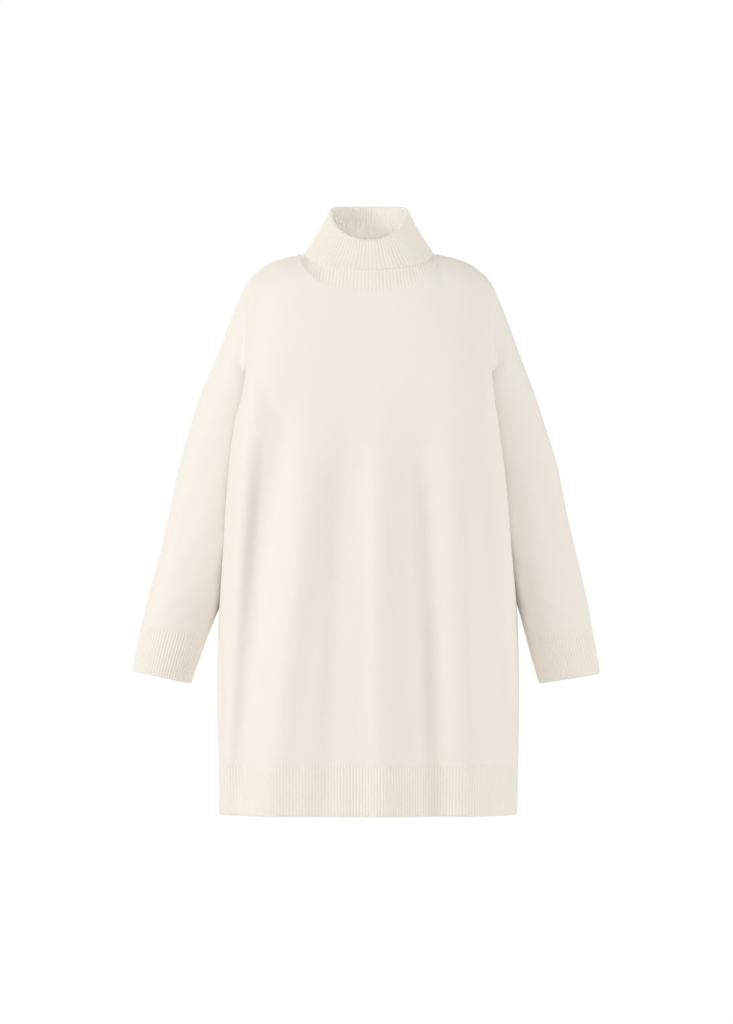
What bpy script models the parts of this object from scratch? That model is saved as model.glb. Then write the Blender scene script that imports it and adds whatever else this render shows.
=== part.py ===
"""Oversized knitted sweater dress with a folded roll neck, filled out as if worn.

The dress is hollow: neck, cuffs and hem are open.  Metres, +Z up, the front faces -Y and the
wearer's left is +X.  The origin is the middle of the neck at the height of the shoulder's high point.
Every piece that is cut and sewn is one wall of cloth, with a narrow gap to its neighbour at the seam.
"""

import bisect
import math
from collections import defaultdict, namedtuple

import bmesh
import bpy
from mathutils import Vector

DRESS = "sweater_dress"

# Cloth
CLOTH = 0.0024              # brushed knit
ROLLED_CLOTH = 0.0055       # the neck rib folded over on itself
SEAM_GAP = 0.0003           # between the pieces at a seam
SLEEVE_CLEARANCE = 0.0062   # from the sleeve's outer face to the body's, where they hang together

# Heights
HEM = -0.898
HEM_RIB_TOP = -0.813
UNDERARM = -0.233

# Side and shoulder seams
SEAM_Y = 0.020
HIGH_POINT_X = 0.110
HIGH_POINT_Z = -0.003
SHOULDER_ROUND = 0.050      # how far in from the outline the shoulder rounds over
FRONT_NECK_DROP = 0.066
BACK_NECK_DROP = 0.009
ARMHOLE_RISE = 0.026        # the drop shoulder's seam climbs this much from underarm to outside
CREASE_LOW = 0.970          # armpit crease as a share of the body's half width, at the underarm
CREASE_HIGH = 0.880         # and at the shoulder
CREASE_ROLL = 0.020         # share of the half width over which the body rolls into the crease
CREASE_DEPTH = 0.011        # how deep the crease is just above the armpit
CREASE_OPENING = 0.27       # share of the armhole's height over which the armpit opens
JOIN_SHARE = 0.10           # share of the armhole's height where chest and upper arm begin to join
JOIN_SPAN = 0.30            # share over which they become one smooth face
JOIN_SOFTNESS = 0.060       # how softly the chest runs into the upper arm at the shoulder
SOFTENING_SPAN = 0.50       # share over which that softness grows
LEAST_ARM = 0.010           # the upper arm's half width is taken as at least this

# How finely the cloth is faceted
NECK_COLUMNS = 9            # from the middle of the front to the shoulder's high point
SHOULDER_COLUMNS = 6        # from there to the crease above the armpit
ARM_COLUMNS = 8             # across half a sleeve
BODY_COLUMNS = NECK_COLUMNS + SHOULDER_COLUMNS
FACE_COLUMNS = BODY_COLUMNS - 3     # up to where the body turns in beside the sleeve
CAP_TURN = ARM_COLUMNS // 2         # column of the upper arm's foremost point
BODY_ROWS = 9
HEM_ROWS = 2
SLEEVE_ROWS = 9
CUFF_ROWS = 2
YOKE_ROWS = 3
COLLAR_ROWS = 4
CHEST_SHARES = (0.0, 0.05, 0.11, 0.18, 0.27, 0.43, 0.60, 0.77, 0.92, 1.0)

# Level sections of the body: half widths to the wearer's right and left, depths in front of and
# behind the side seams, and how square the section is (2 is an ellipse).
Body = namedtuple("Body", "height right left front back squareness")
BODY = (
    Body(-0.898, 0.2400, 0.2370, 0.142, 0.112, 2.4),
    Body(-0.813, 0.2405, 0.2385, 0.141, 0.112, 2.4),
    Body(-0.700, 0.2430, 0.2400, 0.139, 0.112, 2.4),
    Body(-0.570, 0.2400, 0.2370, 0.136, 0.108, 2.5),
    Body(-0.450, 0.2360, 0.2300, 0.132, 0.104, 2.8),
    Body(-0.370, 0.2300, 0.2230, 0.130, 0.101, 3.1),
    Body(-0.286, 0.2220, 0.2130, 0.128, 0.100, 3.4),
    Body(-0.210, 0.2080, 0.2060, 0.125, 0.098, 3.4),
    Body(-0.150, 0.1980, 0.1980, 0.120, 0.096, 3.0),
    Body(-0.100, 0.1960, 0.1960, 0.113, 0.092, 2.6),
    Body(-0.050, 0.1950, 0.1950, 0.103, 0.082, 2.3),
    Body(0.035, 0.1950, 0.1950, 0.088, 0.066, 2.2),
)

# Outline of the shoulder, from above the neck to where the arm begins.
Outline = namedtuple("Outline", "across height")
SHOULDER = (
    Outline(0.000, 0.035),
    Outline(0.060, 0.020),
    Outline(0.110, -0.002),
    Outline(0.140, -0.0095),
    Outline(0.160, -0.0175),
    Outline(0.176, -0.0275),
    Outline(0.188, -0.0390),
)

# Edges of the sleeves as seen from the front, with the depth of their middle and their half depth.
Arm = namedtuple("Arm", "height right_out left_out right_in left_in middle half_depth")
ARM = (
    Arm(-0.700, 0.3800, 0.3735, 0.2885, 0.2755, 0.0180, 0.0330),
    Arm(-0.650, 0.3750, 0.3665, 0.2710, 0.2605, 0.0190, 0.0370),
    Arm(-0.603, 0.3660, 0.3575, 0.2540, 0.2480, 0.0210, 0.0410),
    Arm(-0.555, 0.3550, 0.3490, 0.2340, 0.2340, 0.0235, 0.0450),
    Arm(-0.483, 0.3350, 0.3320, 0.2060, 0.2050, 0.0260, 0.0490),
    Arm(-0.411, 0.3190, 0.3155, 0.1830, 0.1820, 0.0270, 0.0510),
    Arm(-0.339, 0.3030, 0.3010, 0.1660, 0.1650, 0.0260, 0.0520),
    Arm(-0.267, 0.2830, 0.2785, 0.1560, 0.1560, 0.0220, 0.0520),
    Arm(-0.219, 0.2670, 0.2625, 0.1510, 0.1510, 0.0200, 0.0510),
    Arm(-0.147, 0.2365, 0.2355, 0.1400, 0.1400, 0.0200, 0.0490),
    Arm(-0.099, 0.2190, 0.2178, 0.1250, 0.1250, 0.0200, 0.0480),
    Arm(-0.050, 0.1968, 0.1968, 0.1150, 0.1150, 0.0200, 0.0460),
    Arm(-0.039, 0.1880, 0.1880, 0.1130, 0.1130, 0.0200, 0.0450),
)

# Rings of the sleeve: height at the inside edge, and how much higher the outside edge is.
CUFF_SEAM = -0.613
CUFF_END = -0.689
CUFF_RISE_RIGHT = 0.0200
CUFF_RISE_LEFT = 0.0160

# Soft folds that hang from the chest and the shoulder blades.  A ridge stands out, a valley is
# negative.  Across is measured towards the wearer's left.
Fold = namedtuple("Fold", "top top_across bottom_across half_width depth")
FOLD_GROWTH = 2.8           # a fold is full this many times sooner than it ends
FRONT_FOLDS = (
    Fold(-0.150, -0.183, -0.238, 0.019, 0.0090),
    Fold(-0.140, -0.125, -0.210, 0.024, -0.0160),
    Fold(-0.150, -0.070, -0.158, 0.027, 0.0100),
    Fold(-0.240, -0.036, -0.070, 0.024, -0.0070),
    Fold(-0.170, 0.016, 0.024, 0.029, 0.0175),
    Fold(-0.190, 0.080, 0.102, 0.027, -0.0175),
    Fold(-0.180, 0.128, 0.162, 0.024, 0.0080),
    Fold(-0.220, 0.165, 0.224, 0.022, -0.0075),
)
BACK_FOLDS = (
    Fold(-0.200, -0.178, -0.222, 0.022, -0.0075),
    Fold(-0.180, -0.120, -0.160, 0.028, 0.0080),
    Fold(-0.260, -0.058, -0.086, 0.026, -0.0065),
    Fold(-0.220, 0.004, -0.010, 0.032, 0.0070),
    Fold(-0.290, 0.060, 0.082, 0.025, -0.0080),
    Fold(-0.210, 0.116, 0.156, 0.026, 0.0075),
    Fold(-0.240, 0.168, 0.214, 0.022, -0.0065),
)

# Rings round the neck: half width, middle and half depth, then the height at the side and how
# far the front hangs below it and the back stands above it.
Ring = namedtuple("Ring", "half_width middle half_depth side front_drop back_lift")
COLLAR_EDGE = Ring(0.1020, -0.0090, 0.0745, -0.0010, 0.0280, 0.0120)
COLLAR_RIM = Ring(0.0615, -0.0050, 0.0530, 0.0700, 0.0500, 0.0058)
YOKE_TUCK = 0.0012           # from the collar's lower edge down to the top of the yoke
COLLAR_HOLLOW = 0.0025      # the collar's sides curve in by this much halfway up

CREAM = (0.905, 0.855, 0.775)
RIB_CREAM = (0.890, 0.835, 0.750)


def curve(rows, column, key="height"):
    """Function that reads one column of a table on a smooth curve through its rows."""
    rows = sorted(rows, key=lambda row: getattr(row, key))
    at = [getattr(row, key) for row in rows]
    value = [getattr(row, column) for row in rows]
    last = len(at) - 1

    def slope(i):
        low, high = max(i - 1, 0), min(i + 1, last)
        return (value[high] - value[low]) / (at[high] - at[low])

    slopes = [slope(i) for i in range(last + 1)]

    def read(place):
        place = min(max(place, at[0]), at[-1])
        i = min(max(bisect.bisect_right(at, place) - 1, 0), last - 1)
        span = at[i + 1] - at[i]
        t = (place - at[i]) / span
        return (value[i] * (1 + 2 * t) * (1 - t) ** 2
                + slopes[i] * span * t * (1 - t) ** 2
                + value[i + 1] * t * t * (3 - 2 * t)
                + slopes[i + 1] * span * t * t * (t - 1))

    return read


HALF_WIDTH = {-1: curve(BODY, "right"), 1: curve(BODY, "left")}
DEPTH = {-1: curve(BODY, "front"), 1: curve(BODY, "back")}
SQUARENESS = curve(BODY, "squareness")
ARM_OUT = {-1: curve(ARM, "right_out"), 1: curve(ARM, "left_out")}
ARM_IN = {-1: curve(ARM, "right_in"), 1: curve(ARM, "left_in")}
ARM_MIDDLE = curve(ARM, "middle")
ARM_HALF_DEPTH = curve(ARM, "half_depth")
SHOULDER_HEIGHT = curve(SHOULDER, "height", key="across")
SHOULDER_TIP = SHOULDER[-1]
CUFF_RISE = {-1: CUFF_RISE_RIGHT, 1: CUFF_RISE_LEFT}
FOLDS = {-1: FRONT_FOLDS, 1: BACK_FOLDS}
NECK_DROP = {-1: FRONT_NECK_DROP, 1: BACK_NECK_DROP}


def mix(a, b, share):
    return a + (b - a) * share


def ease(share):
    """Smooth step from 0 to 1."""
    share = min(max(share, 0.0), 1.0)
    return share * share * (3 - 2 * share)


def fold_depth(face, across, height):
    """How far the folds of a face push the cloth out at one place."""
    total = 0.0
    for fold in FOLDS[face]:
        down = (fold.top - height) / (fold.top - HEM)
        middle = mix(fold.top_across, fold.bottom_across, min(max(down, 0.0), 1.0))
        strength = ease(down * FOLD_GROWTH) * (0.75 + 0.25 * min(max(down, 0.0), 1.0))
        total += fold.depth * strength * math.exp(-((across - middle) / fold.half_width) ** 2)
    return total


def outline_height(side, across):
    """Height of the outline above a place across the shoulder or arm."""
    if across <= SHOULDER_TIP.across:
        return SHOULDER_HEIGHT(across)
    low, high = UNDERARM, SHOULDER_TIP.height
    for _ in range(24):
        middle = (low + high) / 2
        if ARM_OUT[side](middle) > across:
            low = middle
        else:
            high = middle
    return (low + high) / 2


def outline_across(side, height):
    """Half width of the outline at a height of the shoulder or arm."""
    if height <= SHOULDER_TIP.height:
        return ARM_OUT[side](height)
    low, high = 0.0, SHOULDER_TIP.across
    for _ in range(24):
        middle = (low + high) / 2
        if SHOULDER_HEIGHT(middle) > height:
            low = middle
        else:
            high = middle
    return (low + high) / 2


def rounding(side, across, height):
    """0 on the shoulder's outline, 1 where the cloth has rounded over to its full depth."""
    above = max(outline_height(side, across) - height, 0.0)
    beside = max(outline_across(side, height) - across, 0.0)
    if above * beside == 0.0:
        return 0.0
    inside = min(above * beside / math.hypot(above, beside) / SHOULDER_ROUND, 1.0)
    return math.sqrt(1 - (1 - inside) ** 2)


def section_angle(share, squareness):
    """Angle on a section whose point lies at a share of its half width."""
    return math.atan2(share, max(1 - share ** squareness, 0.0) ** (1 / squareness))


def section_point(angle, squareness):
    """Shares of half width and depth at an angle, 0 at the middle of the face."""
    s, c = abs(math.sin(angle)), abs(math.cos(angle))
    reach = (s ** squareness + c ** squareness) ** (-1 / squareness)
    return reach * s, reach * c


def beside_sleeve(side, across, y, height):
    """Across, moved in to hang just clear of the sleeve at that height."""
    outer, inner = ARM_OUT[side](height), ARM_IN[side](height)
    half_width = (outer - inner) / 2 + SLEEVE_CLEARANCE
    half_depth = ARM_HALF_DEPTH(height) + SLEEVE_CLEARANCE
    off = (y - ARM_MIDDLE(height)) / half_depth
    if abs(off) >= 1 or height < CUFF_END:
        return across
    return min(across, (outer + inner) / 2 - half_width * math.sqrt(1 - off * off))


def column_angle(column, turn, last):
    """Angle of a column: evenly over the face up to the turn, then evenly to the last one."""
    if column <= FACE_COLUMNS:
        return turn * column / FACE_COLUMNS
    return mix(turn, last, (column - FACE_COLUMNS) / (BODY_COLUMNS - FACE_COLUMNS))


def body_point(face, side, column, height):
    """Point of the body below the underarm; columns run from the middle to the side seam."""
    squareness = SQUARENESS(height)
    turn = section_angle(CREASE_LOW, squareness)
    wide, deep = section_point(column_angle(column, turn, math.pi / 2), squareness)
    across = wide * HALF_WIDTH[side](height)
    out = deep * DEPTH[face](height)
    out += fold_depth(face, side * across, height) * min(out / 0.03, 1.0)
    y = SEAM_Y + face * out
    return Vector((side * beside_sleeve(side, across, y, height), y, height))


def top_height(face, across):
    """Height of a panel's top edge: the neck's curve, then the shoulder seam."""
    if across >= HIGH_POINT_X:
        return SHOULDER_HEIGHT(across)
    return HIGH_POINT_Z - NECK_DROP[face] * math.sqrt(1 - (across / HIGH_POINT_X) ** 2)


def crease_across(side, share):
    """Where the crease between body and arm runs, at a share of the armhole's height."""
    height = mix(UNDERARM, SHOULDER_HEIGHT(0.17), share)
    return mix(CREASE_LOW, CREASE_HIGH, share) * HALF_WIDTH[side](height)


def face_depth(face, side, across, height):
    """Depth of a face at a place of the chest or upper back, rounded over at the shoulder."""
    squareness = SQUARENESS(height)
    wide = min(across / HALF_WIDTH[side](height), 1.0)
    deep = (1 - wide ** squareness) ** (1 / squareness)
    return deep * DEPTH[face](height) * rounding(side, across, height)


def chest_point(face, side, column, share):
    """Point of the chest or upper back; share is 0 at the underarm and 1 at neck and shoulder."""
    crease = crease_across(side, share)
    crease_height = mix(UNDERARM, SHOULDER_HEIGHT(crease), share)
    half_width, squareness = HALF_WIDTH[side](crease_height), SQUARENESS(crease_height)
    opened = ease(share / CREASE_OPENING)
    turn = section_angle(crease / half_width, squareness)
    rolled = section_angle(min(crease / half_width + CREASE_ROLL, 0.998), squareness)
    low_angle = column_angle(column, turn, mix(math.pi / 2, rolled, opened))
    if column <= NECK_COLUMNS:
        top_across = HIGH_POINT_X * math.sin(math.pi / 2 * column / NECK_COLUMNS)
    elif column <= FACE_COLUMNS:
        face_share = (column - NECK_COLUMNS) / (FACE_COLUMNS - NECK_COLUMNS)
        top_across = mix(HIGH_POINT_X, crease, face_share)
    else:
        top_across = half_width * section_point(low_angle, squareness)[0]
    high_angle = section_angle(top_across / half_width, squareness)
    angle = mix(low_angle, high_angle, ease(share))
    across = section_point(angle, squareness)[0] * half_width
    height = mix(UNDERARM, top_height(face, top_across), share)
    out = face_depth(face, side, across, height)
    if share == 1.0 and column >= NECK_COLUMNS:
        out = 0.0
    rolled_in = max(column - FACE_COLUMNS, 0) / (BODY_COLUMNS - FACE_COLUMNS)
    out -= CREASE_DEPTH * opened * (1 - share) ** 4 * rolled_in ** 2
    out += fold_depth(face, side * across, height) * min(out / 0.03, 1.0)
    y = SEAM_Y + face * out
    if share < CREASE_OPENING:
        across = beside_sleeve(side, across, y, height)
    return Vector((side * across, y, height))


def joined_depth(side, across, height, chest, softness):
    """Depth where chest and upper arm are one cloth, drawn softly from the one to the other."""
    round_over = rounding(side, across, height)
    inner, outer = ARM_IN[side](height), outline_across(side, height)
    half_width = max((outer - inner) / 2, LEAST_ARM)
    inside = min(max((inner + outer) / 2 - across, 0.0) / half_width, 1.0)
    arm = ARM_HALF_DEPTH(height) * round_over * math.sqrt(1 - inside ** 2)
    softness *= round_over
    if softness == 0.0:
        return max(chest, arm)
    near = max(softness - abs(chest - arm), 0.0) / softness
    return max(chest, arm) + near * near * softness / 4


def arm_ring(side, inner_height, rise):
    """Middle across, half width, middle depth and half depth of a ring round the sleeve."""
    inner = ARM_IN[side](inner_height)
    outer = ARM_OUT[side](inner_height + rise)
    height = inner_height + rise / 2
    return (inner + outer) / 2, (outer - inner) / 2, ARM_MIDDLE(height), ARM_HALF_DEPTH(height)


def shoulder_cap_point(face, side, column, share):
    """Point of a panel on the upper arm; columns run from the crease to the outline."""
    crease = crease_across(side, share) + CREASE_ROLL * SHOULDER_TIP.across
    inner_height = mix(UNDERARM, SHOULDER_HEIGHT(crease), share)
    outer_height = mix(UNDERARM + ARMHOLE_RISE, SHOULDER_TIP.height, share)
    middle, half_width, _, half_depth = arm_ring(side, inner_height, outer_height - inner_height)
    opened = ease(share / CREASE_OPENING)
    reach = min((crease + SLEEVE_CLEARANCE * (1 - share) - middle) / half_width, 1.0)
    first_angle = mix(math.pi, math.acos(reach), opened)
    bend = mix(math.pi / 2, 0.75 * math.acos(reach), opened)
    if column <= CAP_TURN:
        angle = mix(first_angle, bend, column / CAP_TURN)
    else:
        angle = bend * (ARM_COLUMNS - column) / (ARM_COLUMNS - CAP_TURN)
    across = middle + half_width * math.cos(angle)
    first_across = middle + half_width * math.cos(first_angle)
    along = (across - first_across) / (middle + half_width - first_across)
    height = mix(inner_height, outer_height, along)
    turn = math.sin(angle)
    if angle < math.pi / 2:
        turn = mix(turn, rounding(side, across, height), ease(share / 0.3))
    if column == ARM_COLUMNS or share == 1.0:
        turn = 0.0
    rolled_in = max(CAP_TURN - column, 0) / CAP_TURN
    out = half_depth * turn - CREASE_DEPTH * opened * (1 - share) ** 4 * rolled_in ** 2
    return Vector((side * across, SEAM_Y + face * out, height))


def joined_point(face, side, place, share):
    """Point of a panel above the underarm, on the face that chest and upper arm come to share."""
    past = place - BODY_COLUMNS - 1
    if past < 0:
        point = chest_point(face, side, place, share)
    else:
        point = shoulder_cap_point(face, side, past, share)
    joining = ease((share - JOIN_SHARE) / JOIN_SPAN)
    if joining == 0.0 or share == 1.0:
        return point
    passed = (place - FACE_COLUMNS) / (BODY_COLUMNS + 1 + ARM_COLUMNS - FACE_COLUMNS)
    if passed > 0:
        crease = crease_across(side, share)
        edge = shoulder_cap_point(face, side, ARM_COLUMNS, share)
        even = mix(crease, abs(edge.x), passed)
        inner_height = mix(UNDERARM, top_height(face, crease), share)
        point = point.lerp(Vector((side * even, point.y, mix(inner_height, edge.z, passed))), joining)
    if past == ARM_COLUMNS:
        return point
    softness = JOIN_SOFTNESS * ease((share - JOIN_SHARE) / SOFTENING_SPAN)
    chest = face_depth(face, side, abs(point.x), point.z)
    out = joined_depth(side, abs(point.x), point.z, chest, softness)
    out += fold_depth(face, point.x, point.z) * min(out / 0.03, 1.0)
    point.y = mix(point.y, SEAM_Y + face * out, joining)
    return point


def sleeve_point(side, step, inner_height, rise):
    """Point of the sleeve; steps run round it from the inside, over the front, to the outside."""
    middle, half_width, middle_y, half_depth = arm_ring(side, inner_height, rise)
    angle = math.pi * (1 - step / ARM_COLUMNS)
    across = middle + half_width * math.cos(angle)
    height = inner_height + rise * (1 + math.cos(angle)) / 2
    return Vector((side * across, middle_y - half_depth * math.sin(angle), height))


def neck_ring_point(ring, angle):
    """Point of a ring round the neck; angle 0 is the front and 90 degrees the wearer's left."""
    forward = math.cos(angle)
    if forward > 0:
        height = ring.side - ring.front_drop * forward
    else:
        height = ring.side + ring.back_lift * (1 - (1 + forward) ** 2)
    return Vector((ring.half_width * math.sin(angle), ring.middle - ring.half_depth * forward, height))


def panel(face):
    """Front or back, from the hem rib to the neck, with the parts that lie over the upper arms."""
    points = {}
    for row in range(BODY_ROWS):
        height = mix(HEM_RIB_TOP, UNDERARM, row / BODY_ROWS)
        for side in (-1, 1):
            for column in range(BODY_COLUMNS + 1):
                points[row, side * column] = body_point(face, side, column, height)
    for step, share in enumerate(CHEST_SHARES):
        row = BODY_ROWS + step
        for side in (-1, 1):
            for place in range(BODY_COLUMNS + ARM_COLUMNS + 2):
                points[row, side * place] = joined_point(face, side, place, share)
    return points


def hem_rib(face):
    """Ribbed band round half of the hem."""
    points = {}
    for row in range(HEM_ROWS + 1):
        height = mix(HEM, HEM_RIB_TOP, row / HEM_ROWS)
        for column in range(-BODY_COLUMNS, BODY_COLUMNS + 1):
            side = 1 if column > 0 else -1
            points[row, column] = body_point(face, side, abs(column), height)
    return points


def sleeve_rows(side, first, last, rows):
    """Rings of a sleeve or cuff; first and last are (inside height, rise)."""
    points = {}
    for row in range(rows + 1):
        share = row / rows
        height, rise = mix(first[0], last[0], share), mix(first[1], last[1], share)
        for step in range(2 * ARM_COLUMNS + 1):
            points[row, step] = sleeve_point(side, step % (2 * ARM_COLUMNS), height, rise)
    return points


def neck_edge():
    """Points of the panels' neck edge, once round from the middle of the front."""
    front = [chest_point(-1, 1, column, 1.0) for column in range(NECK_COLUMNS + 1)]
    back = [chest_point(1, 1, column, 1.0) for column in range(NECK_COLUMNS, -1, -1)]
    left = front[:-1] + back
    right = [chest_point(1, -1, column, 1.0) for column in range(1, NECK_COLUMNS)]
    right += [chest_point(-1, -1, column, 1.0) for column in range(NECK_COLUMNS, 0, -1)]
    return left + right


def collar_lean(angle):
    """Directions up and out of the collar at its lower edge."""
    turn = math.pi / 2 / NECK_COLUMNS
    low = neck_ring_point(COLLAR_EDGE, angle)
    up = (neck_ring_point(COLLAR_RIM, angle) - low).normalized()
    around = neck_ring_point(COLLAR_EDGE, angle + turn) - neck_ring_point(COLLAR_EDGE, angle - turn)
    return up, around.cross(up).normalized()


def neck_yoke():
    """Ribbed band that spreads from under the rolled collar to the neck seam."""
    edge = neck_edge()
    count = len(edge)
    points = {}
    for step in range(count + 1):
        outside = edge[step % count]
        angle = 2 * math.pi * (step % count) / count
        up, out = collar_lean(angle)
        inside = neck_ring_point(COLLAR_EDGE, angle) - out * (ROLLED_CLOTH - CLOTH) - up * YOKE_TUCK
        for row in range(YOKE_ROWS + 1):
            points[row, step] = outside.lerp(inside, row / YOKE_ROWS)
    return points


def collar():
    """Roll neck folded over on itself: one wall of two layers."""
    count = 4 * NECK_COLUMNS
    points = {}
    for row in range(COLLAR_ROWS + 1):
        share = row / COLLAR_ROWS
        for step in range(count + 1):
            angle = 2 * math.pi * (step % count) / count
            low, high = neck_ring_point(COLLAR_EDGE, angle), neck_ring_point(COLLAR_RIM, angle)
            point = low.lerp(high, share)
            inward = Vector((-math.sin(angle), math.cos(angle), 0.0))
            points[row, step] = point + inward * COLLAR_HOLLOW * math.sin(math.pi * share)
    return points


def finish(name, colour):
    """Matt wool for one piece."""
    material = bpy.data.materials.new(name)
    material.use_nodes = True
    surface = material.node_tree.nodes["Principled BSDF"]
    surface.inputs["Base Color"].default_value = (*colour, 1.0)
    surface.inputs["Roughness"].default_value = 0.92
    surface.inputs["Metallic"].default_value = 0.0
    return material


def place_key(point):
    return tuple(round(value, 6) for value in point)


def lay_out(points, flip):
    """Grid of points as a surface: its places once each, and its faces."""
    places = {}
    order = {}
    for key, point in points.items():
        order[key] = places.setdefault(place_key(point), (len(places), point))[0]
    faces = []
    for row, column in points:
        corners = [(row, column), (row, column + 1), (row + 1, column + 1), (row + 1, column)]
        if all(corner in order for corner in corners):
            face = list(dict.fromkeys(order[corner] for corner in corners))
            if len(face) > 2:
                faces.append(face[::-1] if flip else face)
    return [point for _, point in places.values()], faces


def shared_normals(surfaces):
    """Normal at each place of the whole dress, so that walls line up across the seams."""
    normals = defaultdict(Vector)
    for points, faces in surfaces:
        for face in faces:
            corners = [points[index] for index in face]
            across = (corners[2] - corners[0]).cross(corners[-1] - corners[1])
            for corner in corners:
                normals[place_key(corner)] += across
    return {key: normal.normalized() for key, normal in normals.items()}


def seam_allowance(vertex):
    """Move of an edge point into its own piece, half the gap at the seam."""
    inward = []
    for edge in vertex.link_edges:
        if edge.is_boundary:
            along = (edge.verts[1].co - edge.verts[0].co).normalized()
            inside = edge.link_faces[0].calc_center_median() - edge.verts[0].co
            inward.append((inside - along * inside.dot(along)).normalized())
    if len(inward) != 2:
        return Vector()
    first, second = inward
    return (first + second) * (SEAM_GAP / 2) / max(1 + first.dot(second), 0.5)


def wall(name, points, faces, normals, thickness, colour):
    """Closed wall of cloth: the outer face, extruded inwards along the dress's normals."""
    mesh = bpy.data.meshes.new(name)
    bm = bmesh.new()
    vertices = [bm.verts.new(point) for point in points]
    for face in faces:
        bm.faces.new([vertices[index] for index in face])
    bm.verts.ensure_lookup_table()
    inward = [normals[place_key(point)] * -thickness for point in points]
    moves = [seam_allowance(vertex) for vertex in bm.verts]
    for vertex, move in zip(vertices, moves):
        vertex.co += move
    outer = [vertex.co.copy() for vertex in vertices]
    lookup = {place_key(point): step for point, step in zip(outer, inward)}
    bmesh.ops.reverse_faces(bm, faces=bm.faces[:])
    extruded = bmesh.ops.extrude_face_region(bm, geom=bm.faces[:])
    inner = [item for item in extruded["geom"] if isinstance(item, bmesh.types.BMVert)]
    for vertex in inner:
        vertex.co += lookup[place_key(vertex.co)]
    bmesh.ops.recalc_face_normals(bm, faces=bm.faces[:])
    bm.to_mesh(mesh)
    bm.free()
    mesh.materials.append(finish(name, colour))
    piece = bpy.data.objects.new(name, mesh)
    bpy.data.collections[DRESS].objects.link(piece)


def main():
    for item in list(bpy.data.objects):
        bpy.data.objects.remove(item)
    dress = bpy.data.collections.new(DRESS)
    bpy.context.scene.collection.children.link(dress)

    # name: points, whether the faces are turned over, thickness, colour
    pieces = {
        "front_panel": (panel(-1), False, CLOTH, CREAM),
        "back_panel": (panel(1), True, CLOTH, CREAM),
        "front_hem_rib": (hem_rib(-1), False, CLOTH, RIB_CREAM),
        "back_hem_rib": (hem_rib(1), True, CLOTH, RIB_CREAM),
    }
    for side, word in ((-1, "right"), (1, "left")):
        armhole, seam = (UNDERARM, ARMHOLE_RISE), (CUFF_SEAM, CUFF_RISE[side])
        end = (CUFF_END, CUFF_RISE[side])
        over = side > 0
        pieces[word + "_sleeve"] = (sleeve_rows(side, armhole, seam, SLEEVE_ROWS), over, CLOTH, CREAM)
        pieces[word + "_cuff_rib"] = (sleeve_rows(side, seam, end, CUFF_ROWS), over, CLOTH, RIB_CREAM)
    pieces["neck_yoke_rib"] = (neck_yoke(), False, CLOTH, RIB_CREAM)
    pieces["collar"] = (collar(), False, ROLLED_CLOTH, RIB_CREAM)

    surfaces = {name: lay_out(points, flip) for name, (points, flip, _, _) in pieces.items()}
    normals = shared_normals(surfaces.values())
    for name, (_, _, thickness, colour) in pieces.items():
        wall(name, *surfaces[name], normals, thickness, colour)


main()
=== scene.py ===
"""Fine cloth for the sweater dress: brushed knit panels and sleeves, ribbed hem, cuffs, neck and collar.

Metres, +Z up, the front faces -Y and the wearer's left is +X.  The cloth lies on the same form as the
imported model's walls.  It adds what they leave out: the ribs, the seams, the small creases and the wool.
"""

import bisect
import math
from collections import namedtuple

import bmesh
import bpy
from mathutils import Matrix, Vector


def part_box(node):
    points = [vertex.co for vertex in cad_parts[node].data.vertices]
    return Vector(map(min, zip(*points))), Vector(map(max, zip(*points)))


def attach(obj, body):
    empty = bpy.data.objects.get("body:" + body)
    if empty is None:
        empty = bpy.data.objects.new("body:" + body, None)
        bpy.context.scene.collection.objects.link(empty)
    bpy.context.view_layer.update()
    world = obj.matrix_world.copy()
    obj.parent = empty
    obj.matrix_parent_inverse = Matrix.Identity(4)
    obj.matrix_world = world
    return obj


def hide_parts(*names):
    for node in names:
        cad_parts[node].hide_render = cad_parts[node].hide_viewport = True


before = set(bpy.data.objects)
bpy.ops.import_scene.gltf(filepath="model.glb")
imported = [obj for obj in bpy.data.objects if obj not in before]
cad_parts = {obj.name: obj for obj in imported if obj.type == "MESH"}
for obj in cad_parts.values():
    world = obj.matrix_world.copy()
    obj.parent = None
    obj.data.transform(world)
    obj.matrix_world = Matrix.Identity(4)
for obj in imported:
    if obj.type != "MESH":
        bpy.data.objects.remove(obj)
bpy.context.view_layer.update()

# ---------------------------------------------------------------- the form, as the walls have it

CLOTH = 0.0024              # brushed knit
ROLLED_CLOTH = 0.0055       # the neck rib folded over on itself
SLEEVE_CLEARANCE = 0.0062   # from the sleeve's outer face to the body's, where they hang together

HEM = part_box("front_hem_rib")[0][2]
HEM_RIB_TOP = -0.813
UNDERARM = -0.233
SEAM_Y = 0.020
HIGH_POINT_X = 0.110
HIGH_POINT_Z = -0.003
SHOULDER_ROUND = 0.050      # how far in from the outline the shoulder rounds over
FRONT_NECK_DROP = 0.066
BACK_NECK_DROP = 0.009
ARMHOLE_RISE = 0.026        # the drop shoulder's seam climbs this much from underarm to outside
CREASE_LOW = 0.970          # armpit crease as a share of the body's half width, at the underarm
CREASE_HIGH = 0.880         # and at the shoulder
CREASE_ROLL = 0.020         # share of the half width over which the body rolls into the crease
CREASE_DEPTH = 0.011        # how deep the crease is just above the armpit
CREASE_FADE = 4             # power by which it grows shallow towards the shoulder
CREASE_OPENING = 0.27       # share of the armhole's height over which the armpit opens
CREASE_TOP = 0.170          # how far across the shoulder the armpit's crease would end
NEAR_SIDE = 0.998           # share of the half width that is just inside the side seam
CAP_BEND = 0.75             # how far round the upper arm its foremost point moves as the armpit opens
CAP_ROUNDING = 0.3          # share over which the upper arm takes up the shoulder's rounding
JOIN_SHARE = 0.10           # share of the armhole's height where chest and upper arm begin to join
JOIN_SPAN = 0.30            # share over which they become one smooth face
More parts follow.
